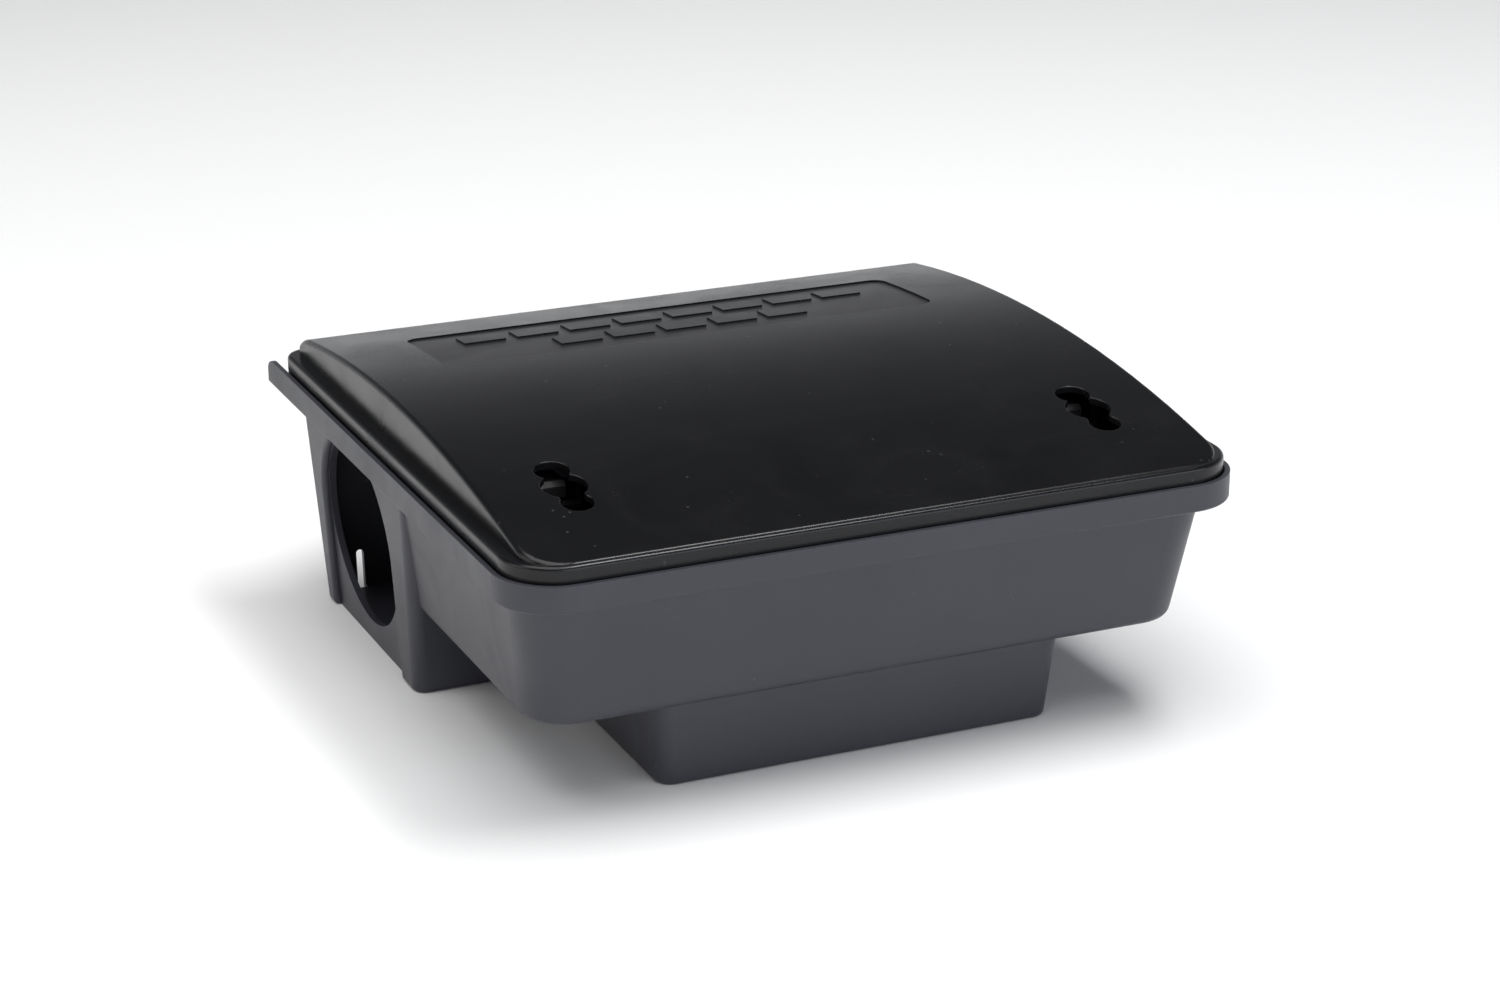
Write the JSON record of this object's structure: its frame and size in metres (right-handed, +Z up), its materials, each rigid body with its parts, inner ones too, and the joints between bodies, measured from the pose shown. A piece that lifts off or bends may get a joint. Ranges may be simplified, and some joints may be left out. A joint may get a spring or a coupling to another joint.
{
  "type": "bait station",
  "caption": "Lockable moulded rodent bait box: rear tunnel with a round entrance at each end, shallow front tray, bait well and an arched hinged lid with key slots.",
  "frame": {"origin": "on the floor, under the middle of the rim", "axes": "+X along the length to the right-hand entrance, +Y to the hinge side, +Z up"},
  "size_m": [0.235, 0.235, 0.097],
  "materials": {
    "base_plastic": "satin moulded dark grey",
    "lid_plastic": "semi-gloss black",
    "pin_steel": "bright drawn steel",
    "tongue_plastic": "satin black",
    "tray_plastic": "satin grey",
    "rod_steel": "galvanised wire",
    "baffle_plastic": "satin dark grey"
  },
  "bodies": {
    "base": {"base_shell": "base_plastic", "hinge_pin_left": "pin_steel", "hinge_pin_right": "pin_steel", "bait_rod_left": "rod_steel", "bait_rod_right": "rod_steel", "baffle_plate": "baffle_plastic"},
    "lid": {"lid_shell": "lid_plastic"},
    "tongue_left": {"lock_tongue_left": "tongue_plastic"},
    "tongue_right": {"lock_tongue_right": "tongue_plastic"},
    "tray": {"bait_tray": "tray_plastic"}
  },
  "joints": [
    {"name": "lid_hinge", "type": "hinge", "parent": "base", "child": "lid", "pos_m": [0, 0.112, 0.076], "axis": [-1, 0, 0], "range_deg": [0, 108]},
    {"name": "tongue_left_bend", "type": "hinge", "parent": "base", "child": "tongue_left", "pos_m": [-0.0855, -0.0488, 0.034], "axis": [-1, 0, 0], "range_deg": [0, 4], "stiffness_Nm_per_rad": 7},
    {"name": "tongue_right_bend", "type": "hinge", "parent": "base", "child": "tongue_right", "pos_m": [0.0855, -0.0488, 0.034], "axis": [-1, 0, 0], "range_deg": [0, 4], "stiffness_Nm_per_rad": 7},
    {"name": "bait_tray_lift", "type": "slide", "parent": "base", "child": "tray", "axis": [0, 0, 1], "range_m": [0, 0.04]}
  ]
}
